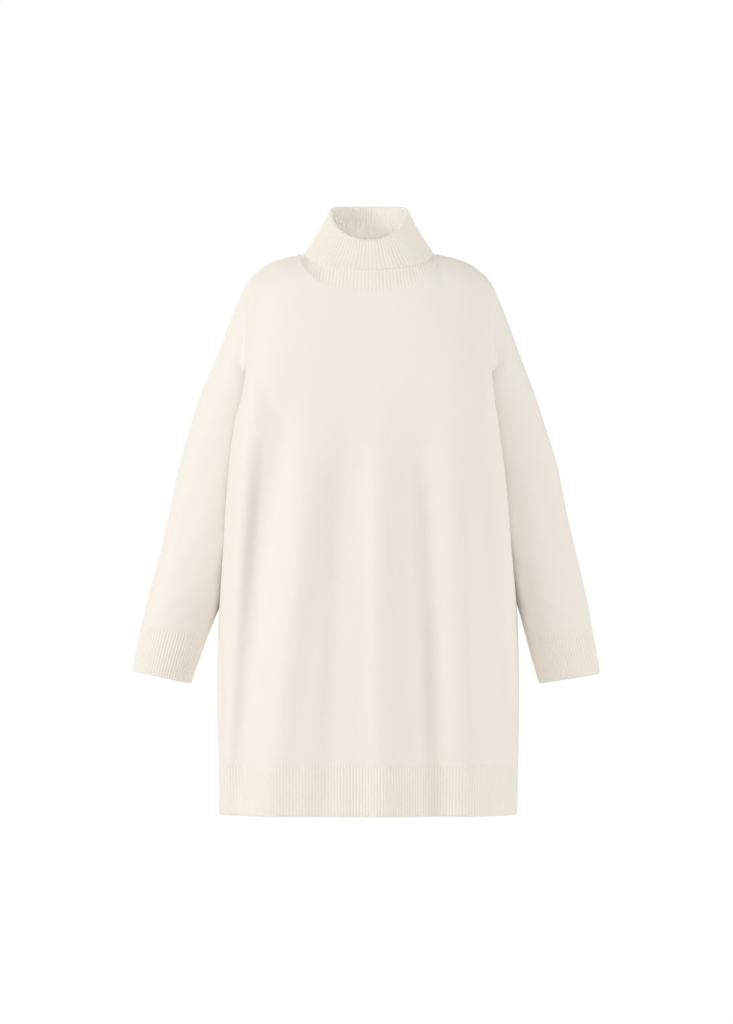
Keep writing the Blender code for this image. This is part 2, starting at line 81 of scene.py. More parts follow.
JOIN_SOFTNESS = 0.060       # how softly the chest runs into the upper arm at the shoulder
SOFTENING_SPAN = 0.50       # share over which that softness comes in
LEAST_ARM = 0.010           # the upper arm's half width is never taken as less

# Stations across the cloth.  They are places on the form, and the fine cloth lies between them too.
NECK_STATION = 9            # the shoulder's high point, counted from the middle of a face
BODY_STATION = 15           # the side seam, and the crease above the armpit
TURNED_STATIONS = 3         # the last of them, where the body turns in beside the sleeve
FACE_STATION = BODY_STATION - TURNED_STATIONS
ARM_STATION = 8             # the arm's outline, counted from the crease or the inside of a sleeve
CAP_TURN = ARM_STATION / 2  # the upper arm's foremost point

Body = namedtuple("Body", "height right left front back squareness")
BODY = (
    Body(-0.898, 0.2400, 0.2370, 0.142, 0.112, 2.4),
    Body(-0.813, 0.2405, 0.2385, 0.141, 0.112, 2.4),
    Body(-0.700, 0.2430, 0.2400, 0.139, 0.112, 2.4),
    Body(-0.570, 0.2400, 0.2370, 0.136, 0.108, 2.5),
    Body(-0.450, 0.2360, 0.2300, 0.132, 0.104, 2.8),
    Body(-0.370, 0.2300, 0.2230, 0.130, 0.101, 3.1),
    Body(-0.286, 0.2220, 0.2130, 0.128, 0.100, 3.4),
    Body(-0.210, 0.2080, 0.2060, 0.125, 0.098, 3.4),
    Body(-0.150, 0.1980, 0.1980, 0.120, 0.096, 3.0),
    Body(-0.100, 0.1960, 0.1960, 0.113, 0.092, 2.6),
    Body(-0.050, 0.1950, 0.1950, 0.103, 0.082, 2.3),
    Body(0.035, 0.1950, 0.1950, 0.088, 0.066, 2.2),
)

Outline = namedtuple("Outline", "across height")
SHOULDER = (
    Outline(0.000, 0.035),
    Outline(0.060, 0.020),
    Outline(0.110, -0.002),
    Outline(0.140, -0.0095),
    Outline(0.160, -0.0175),
    Outline(0.176, -0.0275),
    Outline(0.188, -0.0390),
)

Arm = namedtuple("Arm", "height right_out left_out right_in left_in middle half_depth")
ARM = (
    Arm(-0.700, 0.3800, 0.3735, 0.2885, 0.2755, 0.0180, 0.0330),
    Arm(-0.650, 0.3750, 0.3665, 0.2710, 0.2605, 0.0190, 0.0370),
    Arm(-0.603, 0.3660, 0.3575, 0.2540, 0.2480, 0.0210, 0.0410),
    Arm(-0.555, 0.3550, 0.3490, 0.2340, 0.2340, 0.0235, 0.0450),
    Arm(-0.483, 0.3350, 0.3320, 0.2060, 0.2050, 0.0260, 0.0490),
    Arm(-0.411, 0.3190, 0.3155, 0.1830, 0.1820, 0.0270, 0.0510),
    Arm(-0.339, 0.3030, 0.3010, 0.1660, 0.1650, 0.0260, 0.0520),
    Arm(-0.267, 0.2830, 0.2785, 0.1560, 0.1560, 0.0220, 0.0520),
    Arm(-0.219, 0.2670, 0.2625, 0.1510, 0.1510, 0.0200, 0.0510),
    Arm(-0.147, 0.2365, 0.2355, 0.1400, 0.1400, 0.0200, 0.0490),
    Arm(-0.099, 0.2190, 0.2178, 0.1250, 0.1250, 0.0200, 0.0480),
    Arm(-0.050, 0.1968, 0.1968, 0.1150, 0.1150, 0.0200, 0.0460),
    Arm(-0.039, 0.1880, 0.1880, 0.1130, 0.1130, 0.0200, 0.0450),
)
CUFF_SEAM = -0.613
CUFF_END = -0.689
CUFF_RISE = {-1: 0.0200, 1: 0.0160}

# Soft folds that hang from the chest and the shoulder blades.  A ridge stands out, a valley is
# negative.  Across is measured towards the wearer's left.
Fold = namedtuple("Fold", "top top_across bottom_across half_width depth")
FOLD_GROWTH = 2.8           # a fold is full this many times sooner than it ends
FOLD_START = 0.75           # share of its depth it has by then; the rest comes on the way to the hem
FOLD_FADE = 0.030           # folds die away where the face stands out less than this
FRONT_FOLDS = (
    Fold(-0.150, -0.183, -0.238, 0.019, 0.0090),
    Fold(-0.140, -0.125, -0.210, 0.024, -0.0160),
    Fold(-0.150, -0.070, -0.158, 0.027, 0.0100),
    Fold(-0.240, -0.036, -0.070, 0.024, -0.0070),
    Fold(-0.170, 0.016, 0.024, 0.029, 0.0175),
    Fold(-0.190, 0.080, 0.102, 0.027, -0.0175),
    Fold(-0.180, 0.128, 0.162, 0.024, 0.0080),
    Fold(-0.220, 0.165, 0.224, 0.022, -0.0075),
)
BACK_FOLDS = (
    Fold(-0.200, -0.178, -0.222, 0.022, -0.0075),
    Fold(-0.180, -0.120, -0.160, 0.028, 0.0080),
    Fold(-0.260, -0.058, -0.086, 0.026, -0.0065),
    Fold(-0.220, 0.004, -0.010, 0.032, 0.0070),
    Fold(-0.290, 0.060, 0.082, 0.025, -0.0080),
    Fold(-0.210, 0.116, 0.156, 0.026, 0.0075),
    Fold(-0.240, 0.168, 0.214, 0.022, -0.0065),
)

Ring = namedtuple("Ring", "half_width middle half_depth side front_drop back_lift")
COLLAR_EDGE = Ring(0.1020, -0.0090, 0.0745, -0.0010, 0.0280, 0.0120)
COLLAR_RIM = Ring(0.0615, -0.0050, 0.0530, 0.0700, 0.0500, 0.0058)
YOKE_TUCK = 0.0012          # from the collar's lower edge down to the top of the yoke
COLLAR_HOLLOW = 0.0025      # the collar's sides curve in by this much halfway up

# ---------------------------------------------------------------- what the fine cloth adds

# Knitting
HEM_RIB_PITCH = 0.0051
CUFF_RIB_PITCH = 0.0047
COLLAR_RIB_PITCH = 0.0056
YOKE_RIB_PITCH = 0.0058
RIB_DEPTH = 0.0009          # from the top of a rib to the groove beside it
RIB_ROUNDNESS = 0.65        # power that makes the rib round and its groove narrow
RIB_STEPS = 8               # points across one rib
RIB_FADE = 0.004            # the ribs start this far from the seam
YOKE_FADE = 0.18            # and at this share of the yoke's height
BODY_WALE = 0.0030          # width of one stitch, drawn a fifth coarser than the real 2.5 mm so it shows
BODY_COURSE = 0.0024        # height of one stitch
BODY_STITCH = 0.00030       # how far a stitch stands out, under the nap
RIB_STITCH = 0.00035
NAP_SCALE = 620.0           # tufts of the nap, 1.6 mm across
MOTTLE_SCALE = 38.0         # uneven brushing, in patches of 26 mm

# Seams
SEAM_DIP = 0.0003           # how deep the cloth is drawn in along a seam
SEAM_REACH = 0.0024         # and how far from it
SEAM_WELT = 0.0001          # the allowance behind lifts the cloth beside the seam
WELT_PLACE = 0.0060
SIDE_SEAM = 0.8             # strength of a side seam, where a plain seam is 1
UNDERARM_SEAM = 0.7         # of the seam inside a sleeve
SHOULDER_SEAM = 0.35        # and of the seams at shoulder and neck
RIB_WELT = 0.0001           # raised course where a rib is joined on
RIB_WELT_PLACE = 0.0030
RIB_WELT_REACH = 0.0014
EDGE_CURL = 0.0010          # a free edge rolls in by this much
EDGE_CURL_REACH = 0.0012

TURN_LENGTH = 0.0205        # cloth in one station round the sleeve
WRINKLE_BOW = 0.006         # how far the middle of a sleeve's crease bows sideways

# Fineness
FACE_STEP = 0.20            # stations between columns over the face of the body
SIDE_STEP = 0.25            # and beside the sleeve
CAP_STEP = 0.20
ARMPIT_STEPS = 3            # between body and upper arm, one station wide
SLEEVE_STEP = 0.16          # stations between columns round the sleeve
ROW = 0.0042                # between rows of plain cloth
RIB_ROW = 0.0070            # between rows along a rib
YOKE_ROWS = 16
COLLAR_OUTSIDE = 22         # rows up the outside of the collar
COLLAR_INSIDE = 14          # and down its inside
MEASURES = 400              # straight steps that a curved line is measured in
CHEST_ACROSS = 0.150        # where the cloth from underarm to shoulder is measured
EASED_ROWS = 6              # rows below the underarm that are eased into the armpit
EASINGS = 8

# Small creases beside the long folds: where each begins and ends, how far its middle bows
# sideways, its half width, and its depth (a ridge is positive).  Across is towards the wearer's left.
Crease = namedtuple("Crease", "across height to_across to_height bow half_width depth")
FRONT_CREASES = (
    Crease(-0.160, -0.215, -0.196, -0.660, 0.000, 0.015, -0.0058),
    Crease(-0.192, -0.250, -0.217, -0.600, 0.000, 0.012, 0.0028),
    Crease(-0.088, -0.300, -0.140, -0.780, 0.000, 0.016, 0.0026),
    Crease(0.014, -0.240, 0.018, -0.600, 0.000, 0.016, 0.0024),
    Crease(0.098, -0.560, 0.103, -0.806, 0.000, 0.018, -0.0034),
    Crease(-0.186, -0.150, -0.118, -0.300, 0.010, 0.012, -0.0024),
    Crease(-0.190, -0.190, -0.150, -0.330, 0.008, 0.010, 0.0018),
    Crease(0.184, -0.140, 0.122, -0.270, -0.010, 0.013, -0.0020),
    Crease(0.190, -0.180, 0.160, -0.330, -0.006, 0.010, 0.0020),
    Crease(-0.150, -0.060, -0.176, -0.160, 0.006, 0.011, -0.0016),
    Crease(0.152, -0.062, 0.178, -0.150, -0.006, 0.011, -0.0018),
    Crease(-0.060, -0.520, -0.080, -0.780, 0.004, 0.012, 0.0012),
    Crease(0.020, -0.470, 0.026, -0.760, -0.003, 0.011, -0.0014),
    Crease(0.150, -0.500, 0.168, -0.790, 0.004, 0.011, 0.0012),
    Crease(-0.196, -0.560, -0.206, -0.790, 0.002, 0.009, -0.0014),
    Crease(0.212, -0.600, 0.216, -0.790, 0.002, 0.009, -0.0014),
)
BACK_CREASES = (
    Crease(-0.182, -0.150, -0.110, -0.270, 0.012, 0.012, -0.0024),
    Crease(0.184, -0.160, 0.116, -0.290, -0.010, 0.012, -0.0022),
    Crease(-0.190, -0.200, -0.160, -0.340, 0.006, 0.010, 0.0018),
    Crease(0.188, -0.190, 0.156, -0.320, -0.006, 0.010, 0.0018),
    Crease(-0.030, -0.050, 0.040, -0.056, -0.010, 0.010, 0.0012),
    Crease(-0.040, -0.480, -0.030, -0.780, 0.004, 0.012, -0.0014),
    Crease(0.110, -0.520, 0.116, -0.780, 0.003, 0.011, -0.0014),
    Crease(-0.128, -0.470, -0.120, -0.770, 0.003, 0.011, 0.0012),
    Crease(0.196, -0.560, 0.204, -0.790, 0.002, 0.010, 0.0014),
)

# Creases of the sleeves.  Turn goes round the sleeve: 0 inside, 4 in front, 8 outside, 12 behind.
Wrinkle = namedtuple("Wrinkle", "turn height to_turn to_height half_width depth")
SLEEVE_WRINKLES = {
    -1: (
        Wrinkle(0.6, -0.250, 3.6, -0.400, 0.010, -0.0026),
        Wrinkle(1.8, -0.300, 3.0, -0.560, 0.011, 0.0022),
        Wrinkle(-0.6, -0.380, 2.6, -0.425, 0.007, -0.0020),
        Wrinkle(-0.4, -0.405, 3.2, -0.470, 0.008, 0.0018),
        Wrinkle(0.2, -0.440, 3.0, -0.500, 0.007, -0.0018),
        Wrinkle(4.6, -0.300, 6.2, -0.520, 0.012, -0.0020),
        Wrinkle(6.8, -0.330, 5.4, -0.570, 0.010, 0.0016),
        Wrinkle(3.4, -0.520, 6.4, -0.585, 0.008, 0.0014),
        Wrinkle(1.0, -0.560, 4.4, -0.596, 0.007, -0.0014),
        Wrinkle(9.8, -0.280, 12.6, -0.430, 0.011, -0.0022),
        Wrinkle(13.0, -0.360, 15.6, -0.420, 0.008, 0.0020),
        Wrinkle(12.4, -0.420, 15.4, -0.470, 0.008, -0.0020),
        Wrinkle(10.4, -0.440, 12.0, -0.580, 0.011, 0.0018),
    ),
    1: (
        Wrinkle(0.5, -0.245, 3.2, -0.380, 0.011, -0.0028),
        Wrinkle(2.2, -0.290, 3.4, -0.540, 0.011, 0.0020),
        Wrinkle(-0.5, -0.370, 2.9, -0.430, 0.007, -0.0022),
        Wrinkle(-0.3, -0.400, 2.4, -0.455, 0.008, 0.0018),
        Wrinkle(0.4, -0.450, 3.6, -0.515, 0.007, -0.0018),
        Wrinkle(5.0, -0.290, 6.0, -0.500, 0.012, -0.0018),
        Wrinkle(6.6, -0.360, 5.8, -0.580, 0.010, 0.0018),
        Wrinkle(3.0, -0.540, 6.0, -0.590, 0.008, 0.0014),
        Wrinkle(0.6, -0.555, 3.8, -0.598, 0.007, -0.0014),
        Wrinkle(9.6, -0.290, 12.2, -0.440, 0.011, -0.0022),
        Wrinkle(12.8, -0.350, 15.4, -0.400, 0.008, 0.0018),
        Wrinkle(12.2, -0.410, 15.2, -0.465, 0.008, -0.0020),
        Wrinkle(10.6, -0.460, 11.8, -0.590, 0.011, 0.0016),
    ),
}

# Colours: each wool mixes its light and deep colour by random tone and by painted shade in the gaps
# between stitch legs
BRUSHED_LIGHT = "#FAF6F0"
BRUSHED_DEEP = "#F4EEE5"
RIB_LIGHT = "#FBF7F0"
RIB_DEEP = "#F3ECE1"
FLOOR_PALE = "#F6F5F3"

# Light.  Aside and raised are degrees from straight in front, aside towards the wearer's left.
ROOM_LIGHT = 0.52
DRESS_MIDDLE = Vector((0.0, 0.0, -0.40))
NECK_MIDDLE = Vector((0.0, 0.045, 0.035))
Softbox = namedtuple("Softbox", "name middle aside raised distance size power")
SOFTBOXES = (
    Softbox("left_softbox", DRESS_MIDDLE, -60, 18, 4.0, 1.5, 54.0),
    Softbox("right_softbox", DRESS_MIDDLE, 76, 6, 4.0, 2.0, 40.0),
    Softbox("front_softbox", DRESS_MIDDLE, 4, 38, 4.0, 1.8, 23.0),
    Softbox("back_softbox", DRESS_MIDDLE, -150, 20, 4.0, 1.8, 40.0),
    Softbox("neck_card", NECK_MIDDLE, 0, -30, 0.080, 0.050, 0.028),
)


# ---------------------------------------------------------------- the form's curves

def curve(rows, column, key="height"):
    """Function that reads one column of a table on a smooth curve through its rows."""
    rows = sorted(rows, key=lambda row: getattr(row, key))
    at = [getattr(row, key) for row in rows]
    value = [getattr(row, column) for row in rows]
    last = len(at) - 1

    def slope(i):
        low, high = max(i - 1, 0), min(i + 1, last)
        return (value[high] - value[low]) / (at[high] - at[low])

    slopes = [slope(i) for i in range(last + 1)]

    def read(place):
        place = min(max(place, at[0]), at[-1])
        i = min(max(bisect.bisect_right(at, place) - 1, 0), last - 1)
        span = at[i + 1] - at[i]
        t = (place - at[i]) / span
        return (value[i] * (1 + 2 * t) * (1 - t) ** 2
                + slopes[i] * span * t * (1 - t) ** 2
                + value[i + 1] * t * t * (3 - 2 * t)
                + slopes[i + 1] * span * t * t * (t - 1))

    return read


HALF_WIDTH = {-1: curve(BODY, "right"), 1: curve(BODY, "left")}
DEPTH = {-1: curve(BODY, "front"), 1: curve(BODY, "back")}
SQUARENESS = curve(BODY, "squareness")
ARM_OUT = {-1: curve(ARM, "right_out"), 1: curve(ARM, "left_out")}
ARM_IN = {-1: curve(ARM, "right_in"), 1: curve(ARM, "left_in")}
ARM_MIDDLE = curve(ARM, "middle")
ARM_HALF_DEPTH = curve(ARM, "half_depth")
SHOULDER_HEIGHT = curve(SHOULDER, "height", key="across")
SHOULDER_TIP = SHOULDER[-1]
FOLDS = {-1: FRONT_FOLDS, 1: BACK_FOLDS}
CREASES = {-1: FRONT_CREASES, 1: BACK_CREASES}
NECK_DROP = {-1: FRONT_NECK_DROP, 1: BACK_NECK_DROP}
FACE_WORD = {-1: "front", 1: "back"}
SIDE_WORD = {-1: "right", 1: "left"}


def mix(a, b, share):
    return a + (b - a) * share


def ease(share):
    """Smooth step from 0 to 1."""
    share = min(max(share, 0.0), 1.0)
    return share * share * (3 - 2 * share)


def bell(distance, reach):
    return math.exp(-(distance / reach) ** 2)


def fold_depth(face, across, height):
    """How far the folds of a face push the cloth out at one place."""
    total = 0.0
    for fold in FOLDS[face]:
        down = (fold.top - height) / (fold.top - HEM)
        hung = min(max(down, 0.0), 1.0)
        middle = mix(fold.top_across, fold.bottom_across, hung)
        strength = ease(down * FOLD_GROWTH) * mix(FOLD_START, 1.0, hung)
        total += fold.depth * strength * bell(across - middle, fold.half_width)
    return total


def outline_height(side, across):
    """Height of the outline above a place across the shoulder or arm."""
    if across <= SHOULDER_TIP.across:
        return SHOULDER_HEIGHT(across)
    low, high = UNDERARM, SHOULDER_TIP.height
    for _ in range(24):
        middle = (low + high) / 2
        if ARM_OUT[side](middle) > across:
            low = middle
        else:
            high = middle
    return (low + high) / 2


def outline_across(side, height):
    """Half width of the outline at a height of the shoulder or arm."""
    if height <= SHOULDER_TIP.height:
        return ARM_OUT[side](height)
    low, high = 0.0, SHOULDER_TIP.across
    for _ in range(24):
        middle = (low + high) / 2
        if SHOULDER_HEIGHT(middle) > height:
            low = middle
        else:
            high = middle
    return (low + high) / 2


def rounding(side, across, height):
    """0 on the shoulder's outline, 1 where the cloth has rounded over to its full depth."""
    above = max(outline_height(side, across) - height, 0.0)
    beside = max(outline_across(side, height) - across, 0.0)
    if above * beside == 0.0:
        return 0.0
    inside = min(above * beside / math.hypot(above, beside) / SHOULDER_ROUND, 1.0)
    return math.sqrt(1 - (1 - inside) ** 2)


def section_angle(share, squareness):
    """Angle on a section whose point lies at a share of its half width."""
    return math.atan2(share, max(1 - share ** squareness, 0.0) ** (1 / squareness))


def section_point(angle, squareness):
    """Shares of half width and depth at an angle, 0 at the middle of the face."""
    s, c = abs(math.sin(angle)), abs(math.cos(angle))
    reach = (s ** squareness + c ** squareness) ** (-1 / squareness)
    return reach * s, reach * c


def beside_sleeve(side, across, y, height):
    """Across, moved in to hang just clear of the sleeve at that height."""
    outer, inner = ARM_OUT[side](height), ARM_IN[side](height)
    half_width = (outer - inner) / 2 + SLEEVE_CLEARANCE
    half_depth = ARM_HALF_DEPTH(height) + SLEEVE_CLEARANCE
    off = (y - ARM_MIDDLE(height)) / half_depth
    if abs(off) >= 1 or height < CUFF_END:
        return across
    return min(across, (outer + inner) / 2 - half_width * math.sqrt(1 - off * off))


def station_angle(station, turn, last):
    """Angle of a station: evenly over the face up to the turn, then evenly to the last one."""
    if station <= FACE_STATION:
        return turn * station / FACE_STATION
    return mix(turn, last, (station - FACE_STATION) / TURNED_STATIONS)


def body_point(face, side, station, height):
    """Point of the body below the underarm; stations run from the middle to the side seam."""
    squareness = SQUARENESS(height)
    turn = section_angle(CREASE_LOW, squareness)
    wide, deep = section_point(station_angle(station, turn, math.pi / 2), squareness)
    across = wide * HALF_WIDTH[side](height)
    out = deep * DEPTH[face](height)
    out += fold_depth(face, side * across, height) * min(out / FOLD_FADE, 1.0)
    y = SEAM_Y + face * out
    return Vector((side * beside_sleeve(side, across, y, height), y, height))


def top_height(face, across):
    """Height of a panel's top edge: the neck's curve, then the shoulder seam."""
    if across >= HIGH_POINT_X:
        return SHOULDER_HEIGHT(across)
    return HIGH_POINT_Z - NECK_DROP[face] * math.sqrt(1 - (across / HIGH_POINT_X) ** 2)


def crease_across(side, share):
    """Where the crease between body and arm runs, at a share of the armhole's height."""
    height = mix(UNDERARM, SHOULDER_HEIGHT(CREASE_TOP), share)
    return mix(CREASE_LOW, CREASE_HIGH, share) * HALF_WIDTH[side](height)


def face_depth(face, side, across, height):
    """Depth of a face at a place of the chest or upper back, rounded over at the shoulder."""
    squareness = SQUARENESS(height)
    wide = min(across / HALF_WIDTH[side](height), 1.0)
    deep = (1 - wide ** squareness) ** (1 / squareness)
    return deep * DEPTH[face](height) * rounding(side, across, height)


def chest_point(face, side, station, share):
    """Point of the chest or upper back; share is 0 at the underarm and 1 at neck and shoulder."""
    crease = crease_across(side, share)
    crease_height = mix(UNDERARM, SHOULDER_HEIGHT(crease), share)
    half_width, squareness = HALF_WIDTH[side](crease_height), SQUARENESS(crease_height)
    opened = ease(share / CREASE_OPENING)
    turn = section_angle(crease / half_width, squareness)
    rolled = section_angle(min(crease / half_width + CREASE_ROLL, NEAR_SIDE), squareness)
    low_angle = station_angle(station, turn, mix(math.pi / 2, rolled, opened))
    if station <= NECK_STATION:
        top_across = HIGH_POINT_X * math.sin(math.pi / 2 * station / NECK_STATION)
    elif station <= FACE_STATION:
        face_share = (station - NECK_STATION) / (FACE_STATION - NECK_STATION)
        top_across = mix(HIGH_POINT_X, crease, face_share)
    else:
        top_across = half_width * section_point(low_angle, squareness)[0]
    high_angle = section_angle(top_across / half_width, squareness)
    angle = mix(low_angle, high_angle, ease(share))
    across = section_point(angle, squareness)[0] * half_width
    height = mix(UNDERARM, top_height(face, top_across), share)
    out = face_depth(face, side, across, height)
    if share == 1.0 and station >= NECK_STATION:
        out = 0.0
    rolled_in = max(station - FACE_STATION, 0) / TURNED_STATIONS
    out -= CREASE_DEPTH * opened * (1 - share) ** CREASE_FADE * rolled_in ** 2
    out += fold_depth(face, side * across, height) * min(out / FOLD_FADE, 1.0)
    y = SEAM_Y + face * out
    if share < CREASE_OPENING:
        across = beside_sleeve(side, across, y, height)
    return Vector((side * across, y, height))


def joined_depth(face, side, across, height, softness):
    """Depth where chest and upper arm are one cloth, drawn softly from the one to the other."""
    round_over = rounding(side, across, height)
    chest = face_depth(face, side, across, height)
    inner, outer = ARM_IN[side](height), outline_across(side, height)
    half_width = max((outer - inner) / 2, LEAST_ARM)
    inside = min(max((inner + outer) / 2 - across, 0.0) / half_width, 1.0)
    arm = ARM_HALF_DEPTH(height) * round_over * math.sqrt(1 - inside ** 2)
    softness *= round_over
    if softness == 0.0:
        return max(chest, arm)
    near = max(softness - abs(chest - arm), 0.0) / softness
    return max(chest, arm) + near * near * softness / 4


def arm_ring(side, inner_height, rise):
    """Middle across, half width, middle depth and half depth of a ring round the sleeve."""
    inner = ARM_IN[side](inner_height)
    outer = ARM_OUT[side](inner_height + rise)
    height = inner_height + rise / 2
    return (inner + outer) / 2, (outer - inner) / 2, ARM_MIDDLE(height), ARM_HALF_DEPTH(height)


def cap_point(face, side, station, share):
    """Point of a panel on the upper arm; stations run from the crease to the outline."""
    crease = crease_across(side, share) + CREASE_ROLL * SHOULDER_TIP.across
    inner_height = mix(UNDERARM, SHOULDER_HEIGHT(crease), share)
    outer_height = mix(UNDERARM + ARMHOLE_RISE, SHOULDER_TIP.height, share)
    middle, half_width, _, half_depth = arm_ring(side, inner_height, outer_height - inner_height)
    opened = ease(share / CREASE_OPENING)
    reach = min((crease + SLEEVE_CLEARANCE * (1 - share) - middle) / half_width, 1.0)
    first_angle = mix(math.pi, math.acos(reach), opened)
    bend = mix(math.pi / 2, CAP_BEND * math.acos(reach), opened)
    if station <= CAP_TURN:
        angle = mix(first_angle, bend, station / CAP_TURN)
    else:
        angle = bend * (ARM_STATION - station) / (ARM_STATION - CAP_TURN)
    across = middle + half_width * math.cos(angle)
    first_across = middle + half_width * math.cos(first_angle)
    along = (across - first_across) / (middle + half_width - first_across)
    height = mix(inner_height, outer_height, along)
    turn = math.sin(angle)
    if angle < math.pi / 2:
        turn = mix(turn, rounding(side, across, height), ease(share / CAP_ROUNDING))
    if station == ARM_STATION or share == 1.0:
        turn = 0.0
    rolled_in = max(CAP_TURN - station, 0) / CAP_TURN
    out = half_depth * turn - CREASE_DEPTH * opened * (1 - share) ** CREASE_FADE * rolled_in ** 2
    return Vector((side * across, SEAM_Y + face * out, height))


def sleeve_point(side, turn, inner_height, rise):
    """Point of the sleeve; the turn runs round it from the inside, over the front, to the outside."""
    middle, half_width, middle_y, half_depth = arm_ring(side, inner_height, rise)
    angle = math.pi * (1 - turn / ARM_STATION)
    across = middle + half_width * math.cos(angle)
    height = inner_height + rise * (1 + math.cos(angle)) / 2
    return Vector((side * across, middle_y - half_depth * math.sin(angle), height))


def neck_ring_point(ring, angle):
    """Point of a ring round the neck; angle 0 is the front and 90 degrees the wearer's left."""
    forward = math.cos(angle)
    if forward > 0:
        height = ring.side - ring.front_drop * forward
    else:
        height = ring.side + ring.back_lift * (1 - (1 + forward) ** 2)
    return Vector((ring.half_width * math.sin(angle), ring.middle - ring.half_depth * forward, height))


def neck_edge_point(angle):
    """Point of the panels' neck edge."""
    quarter = NECK_STATION / (math.pi / 2)
    side = 1 if math.sin(angle) >= 0 else -1
    if math.cos(angle) >= 0:
        return chest_point(-1, side, abs(math.asin(math.sin(angle))) * quarter, 1.0)
    return chest_point(1, side, abs(math.asin(math.sin(angle))) * quarter, 1.0)


def collar_frame(angle):
    """Lower edge and rim of the collar's outer face, with the directions up it and out of it."""
    low, high = neck_ring_point(COLLAR_EDGE, angle), neck_ring_point(COLLAR_RIM, angle)
    up = (high - low).normalized()
    ahead = neck_ring_point(COLLAR_EDGE, angle + 0.05) - neck_ring_point(COLLAR_EDGE, angle - 0.05)
    return low, high, up, ahead.cross(up).normalized()


# ---------------------------------------------------------------- laying the cloth

Spot = namedtuple("Spot", "column row point below above beside")
NEAR_EDGE = (0.0, 0.0008, 0.0018, 0.0032, 0.0052)


def spread(first, last, step):
    """Evenly spaced places from first to last, at most a step apart."""
    count = max(math.ceil(abs(last - first) / step - 1e-6), 1)
    return [mix(first, last, i / count) for i in range(count + 1)]


def edged(length, step):
    """Places along a length, closer together at both ends, where the seams are drawn in."""
    inner = spread(NEAR_EDGE[-1], length - NEAR_EDGE[-1], step)
    return [*NEAR_EDGE[:-1], *inner, *[length - place for place in NEAR_EDGE[-2::-1]]]


def run_lengths(points):
    """How far along a line of points each one lies."""
    lengths = [0.0]
    for before, after in zip(points, points[1:]):
        lengths.append(lengths[-1] + (after - before).length)
    return lengths


def rib_columns(read, first, last, pitch):
    """Columns across whole ribs: each is how many ribs it has passed, and its place on the line."""
    fine = spread(first, last, abs(last - first) / MEASURES)
    lengths = run_lengths([read(place) for place in fine])
    count = round(lengths[-1] / pitch) * RIB_STEPS
    columns = []
    for i in range(count + 1):
        target = lengths[-1] * i / count
        k = min(bisect.bisect_right(lengths, target), len(fine) - 1)
        share = (target - lengths[k - 1]) / (lengths[k] - lengths[k - 1])
        columns.append((i / RIB_STEPS, mix(fine[k - 1], fine[k], share)))
    return columns


